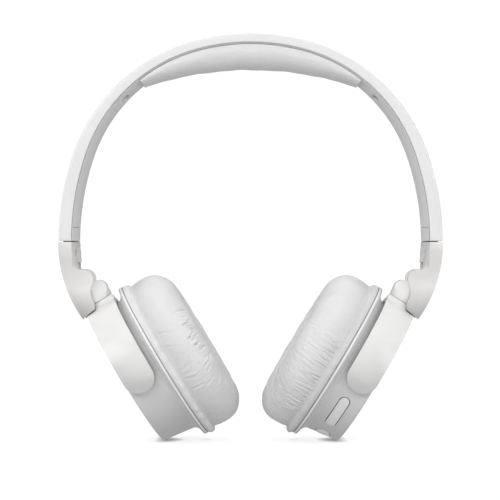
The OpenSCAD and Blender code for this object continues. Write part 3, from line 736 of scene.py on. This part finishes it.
def pad_ring(depth):
    """Section as (y, distance from the seam): the underside, then back over the crown of the liner."""
    ring = []
    for u in np.linspace(-1, 1, PAD_FACE_POINTS):
        angle = (1 - abs(u)) * math.pi / 2
        y, n = math.cos(angle) ** PAD_ROUND, math.sin(angle) ** PAD_ROUND
        pull = PAD_TUCK * (1 - min(1.0, n / PAD_TUCK_REACH)) ** 2
        ring.append((math.copysign(PAD_HALF_W * y - pull, u), depth * n))
    seam_y, gap = abs(ring[0][0]), 0.06 * MM
    for t in np.linspace(0.97, -0.97, PAD_BACK_POINTS):
        y = t * seam_y
        crest = lens_inset(y) + gap - PAD_SEAM
        ring.append((y, max(crest, 0)))
    return ring


def make_pad():
    """Leatherette pad: crowned across, sewn tight under the band, and cut square at its two ends."""
    rings = []
    for heading in np.linspace(-PAD_END, PAD_END, PAD_STEPS):
        top, inward, depth = pad_depth(heading)
        swell = 1 + sum(height * math.sin(heading * rate + start) for height, rate, start in PAD_SWELLS)
        row = []
        for y, n in pad_ring(depth):
            x, z = top + inward * n * (swell if n > 0.5 * depth else 1)
            row.append((x, y, z))
        rings.append(row)
    pad = loft("headband_pad_cover", np.array(rings))
    place_piece(pad, "headband", "pad_leather", "headband_pad", sharp=50)


# ---------------------------------------------------------------- ear cushions

CUSHION = [  # radius and depth in mm: back, welt, seam, side wall, face, lip and hole
    (26.0, 19.7), (33.0, 19.65), (33.9, 18.95), (34.9, 18.42), (35.8, 18.42), (36.4, 18.9), (36.6, 19.7),
    (36.4, 20.6), (35.9, 21.25), (35.1, 21.7), (34.75, 22.2), (34.95, 23.1), (35.25, 25.0), (35.35, 27.4),
    (35.25, 29.3), (34.95, 30.9), (34.55, 32.2), (34.0, 33.3), (33.3, 34.3), (32.4, 35.3), (31.2, 36.2),
    (29.9, 37.0), (28.2, 37.75), (26.2, 38.2), (23.6, 38.35), (21.3, 37.8), (19.5, 36.5), (18.2, 34.5),
    (17.6, 32.2), (17.6, 28.0), (17.7, 23.5), (18.0, 19.9),
]
SEAM_POINT = (34.9, 21.9)
LIP_POINT = (18.6, 35.3)  # where the cover turns into the hole
SEAM_DARK = 0.86  # painted shade: how dark the cover is beside the welt
SEAM_FADE = 8  # mm past the seam at which that ends
# painted shade on the right welt
RIGHT_WELT_DARK = 0.86
WALL_R = 35  # mm, about the radius of the outer wall, to measure lengths around it
SAG = 0.6  # mm that the cushion hangs lower than the middle of the cup
SAG_FROM = (18.4, 20, 1.2, 8)  # depth and radius in mm at which the sag starts, and how soon it is full
RELIEF_FROM = (18.9, 17.1, 1.2, 0.8)  # the same for the relief of the cover
CUSHION_TURNS = 800
CUSHION_ROWS = 124


def cup_frame(side):
    """Matrix from a cup's own frame: X up the outer face, Y to the back, Z towards the ear."""
    mount = next(m for m in frame["record"]["mounts"] if m["name"] == f"{side}_cup_face")
    swivel = next(j for j in frame["joints"] if j["name"] == f"{side}_swivel")
    up, ear = Vector(swivel["axis"]), -Vector(mount["axis"])
    return Matrix.Translation(mount["pos_m"]) @ Matrix((up, Vector((0, 1, 0)), ear)).transposed().to_4x4()


def ripples(rng, turn, along, count, lengths, height):
    """Sum of small random waves that close round the ring; lengths in mm."""
    total = np.zeros(np.broadcast(turn, along).shape)
    for _ in range(count):
        length = rng.uniform(*lengths)
        slope = rng.uniform(-1, 1)
        around = round(2 * math.pi * WALL_R / length * math.cos(slope))
        total += np.sin(around * turn + 2 * math.pi / length * math.sin(slope) * along + rng.uniform(0, 6.3))
    return total * height / math.sqrt(count)


def crease(turn, along, start, run, slant, width, depth):
    """One crease of the cover: a valley between two soft ridges. start is (turn, along); sizes in mm."""
    around = (turn - start[0] + math.pi) % (2 * math.pi) - math.pi
    x, y = around * WALL_R, along - start[1]
    c, s = math.cos(slant), math.sin(slant)
    lengthwise, across = x * s + y * c, x * c - y * s
    wobble = 0.13 * np.sin(lengthwise * 0.9 + start[0] * 40)
    bend = 0.02 * lengthwise**2 * math.sin(start[0] * 90)
    across = across + wobble - bend
    bias = 0.4 if start[1] < 2 else 1.0  # the ones that come out of the seam are deepest near it
    fade = np.sin(math.pi * np.clip(lengthwise / run, 0, 1) ** bias) ** 0.8
    valley = np.exp(-((across / width) ** 2))
    ridges = np.exp(-(((np.abs(across) - 1.9 * width) / (1.1 * width)) ** 2))
    return depth * fade * (0.45 * ridges - valley)


CREASES = {  # where the cover creases: count, range of angles, start, run, slant, width and depth
    "right": [
        (15, (-141, -112), (-0.3, 0.4), (6, 13), (-0.16, 0.06), (0.24, 0.38), (0.22, 0.42)),
        (2, (-108, -104), (-0.2, 0.2), (10, 13), (-0.04, 0.04), (0.3, 0.4), (0.35, 0.45)),
        (10, (-98, -79), (-0.3, 0.4), (5, 11), (-0.12, 0.12), (0.24, 0.38), (0.2, 0.38)),
        (6, (-150, -70), (2, 4), (6, 11), (-0.15, 0.15), (0.28, 0.45), (0.12, 0.3)),
        (12, (-150, -70), (10.5, 14), (2.5, 5), (-0.6, 0.6), (0.3, 0.5), (0.1, 0.25)),
        (26, (40, 320), (0.2, 2.5), (3, 8), (-0.4, 0.4), (0.35, 0.6), (0.12, 0.35)),
    ],
    "left": [
        (26, (-106, -58), (11, 15), (2.5, 5), (-0.3, 0.9), (0.3, 0.55), (0.35, 0.65)),
        (8, (-138, -106), (11, 13.5), (4, 6.5), (0.3, 0.6), (0.32, 0.5), (0.35, 0.65)),
        (6, (-140, -100), (3, 7), (4, 8), (0, 0.3), (0.3, 0.5), (0.08, 0.18)),
        (26, (40, 320), (0.2, 2.5), (3, 8), (-0.4, 0.4), (0.35, 0.6), (0.12, 0.35)),
    ],
}
WAVES = {  # waves of the cover: count, lengths and height in mm
    "slack": (14, (9, 22), 0.10),
    "skin": (20, (2.2, 5), 0.016),
    "welt": (16, (4, 9), 0.14),
    "lip": (26, (1.6, 4), 0.09),
}
GATHERS = {"crumple": (30, (1.4, 3.0)), "pleats": (24, (1.3, 2.8))}  # the same; their heights are below
PLEATS = {"right": 0.11, "left": 0.05}  # height of the fine gathers along the seam
PLEATS_REACH = 1.4  # mm past the seam over which they fade
WELT_MIDDLE = -1.9  # counted from the seam
WELT_W = 1.5
LIP_W = 3.5
CRUMPLED = {"right": (-115, 50, 0.07), "left": (-100, 60, 0.03)}  # middle, spread and height of fine creases
DRIFT = 0.05  # how far they lean as they leave the seam
SEEDS = {"right": 11, "left": 5}


def cover_relief(side, turn, along, hole_at):
    """How far the cover stands out or in, in mm, over the ring; along is the distance past the seam.

    Where along is scaled down, the waves run straight across the wall, as gathers do."""
    rng = np.random.default_rng(SEEDS[side])
    relief = ripples(rng, turn, along, *WAVES["slack"])
    relief += ripples(rng, turn, along, *WAVES["skin"])
    middle, spread, height = CRUMPLED[side]
    near = np.exp(-(((np.degrees(turn) - middle) / spread) ** 2)) * np.clip(along / 2, 0, 1)
    relief += ripples(rng, turn - DRIFT * along / WALL_R, along * 0.25, *GATHERS["crumple"], height) * near
    gather = np.exp(-np.clip(along, 0, None) / PLEATS_REACH) * (along > 0)
    relief += ripples(rng, turn, along * 0.1, *GATHERS["pleats"], PLEATS[side]) * gather
    welt = np.exp(-(((along - WELT_MIDDLE) / WELT_W) ** 2))
    relief += ripples(rng, turn, along, *WAVES["welt"]) * welt
    lip = np.exp(-(((along - hole_at) / LIP_W) ** 2))
    relief += ripples(rng, turn, along * 0.15, *WAVES["lip"]) * lip
    for count, angles, starts, runs, slants, widths, depths in CREASES[side]:
        for _ in range(count):
            start = (math.radians(rng.uniform(*angles)), rng.uniform(*starts))
            relief += crease(turn, along, start, rng.uniform(*runs), rng.uniform(*slants),
                             rng.uniform(*widths), rng.uniform(*depths))
    return relief


def ramp(profile, depth, radius, depth_step, radius_step):
    """From 0 at the back and in the hole to 1 over the rest of the section."""
    rise = np.clip((profile[:, 1] - depth) / depth_step, 0, 1)
    return rise * np.clip((profile[:, 0] - radius) / radius_step, 0, 1)


def make_cushion(side):
    """Padded ring: the section carried round the cup, with the relief of its cover, hanging down a little."""
    profile, along = through(CUSHION, CUSHION_ROWS)
    seam, lip = (int(np.argmin(np.linalg.norm(profile - p, axis=1))) for p in (SEAM_POINT, LIP_POINT))
    turn = np.linspace(-math.pi, math.pi, CUSHION_TURNS, endpoint=False)[:, None]
    relief = cover_relief(side, turn, (along - along[seam])[None, :], along[lip] - along[seam])
    relief = relief * ramp(profile, *RELIEF_FROM)
    around = np.roll(profile, -1, 0) - np.roll(profile, 1, 0)
    normal = np.column_stack([around[:, 1], -around[:, 0]])
    normal /= np.linalg.norm(normal, axis=1)[:, None]
    radius = profile[:, 0] + relief * normal[:, 0]
    depth = profile[:, 1] + relief * normal[:, 1]
    sag = SAG * ramp(profile, *SAG_FROM)
    grid = np.stack([radius * np.cos(turn) - sag, radius * np.sin(turn), depth], axis=-1) * MM
    matrix = np.array(cup_frame(side))
    grid = grid @ matrix[:3, :3].T + matrix[:3, 3]
    cushion = loft(f"{side}_cushion_cover", grid, closed=True)
    place_piece(cushion, f"{side}_cup", "cushion_leather", f"{side}_ear_cushion", sharp=70)


# ---------------------------------------------------------------- edges of the carried-over CAD pieces

EDGE_ROUND = {  # radius of the moulded edges, in mm
    "arm": 0.35,
    "knuckle": 0.4,
    "yoke": 0.35,
    "cup_cap": 0.2,
    "volume_rocker": 0.25,
    "power_button": 0.2,
}
EDGE_ANGLE = math.radians(35)  # sharper edges than this are rounded
FLAT_ANGLE = math.radians(0.3)  # triangles that meet at less than this are one flat face
WELD_REACH = 0.002 * MM


def round_edges():
    """Welds each mesh and joins its flat triangles, so that the bevel finds whole edges."""
    for name, node in NODES.items():
        kind = name.split("_", 1)[1]
        if kind not in EDGE_ROUND:
            continue
        weld = node.modifiers.new("weld", "WELD")
        weld.merge_threshold = WELD_REACH
        flatten = node.modifiers.new("flatten", "DECIMATE")
        flatten.decimate_type = "DISSOLVE"
        flatten.angle_limit = FLAT_ANGLE
        bevel = node.modifiers.new("edges", "BEVEL")
        bevel.width = EDGE_ROUND[kind] * MM
        bevel.segments = 3
        bevel.limit_method = "ANGLE"
        bevel.angle_limit = EDGE_ANGLE
        bevel.harden_normals = True
        for polygon in node.data.polygons:
            polygon.use_smooth = True


# ---------------------------------------------------------------- main

make_camera()
make_world()
make_lights()
make_stage()
MATERIALS = make_materials()
paint_frame(MATERIALS)
round_edges()
make_shell()
make_liner()
make_pad()
for cup in SIDES:
    make_cushion(cup)
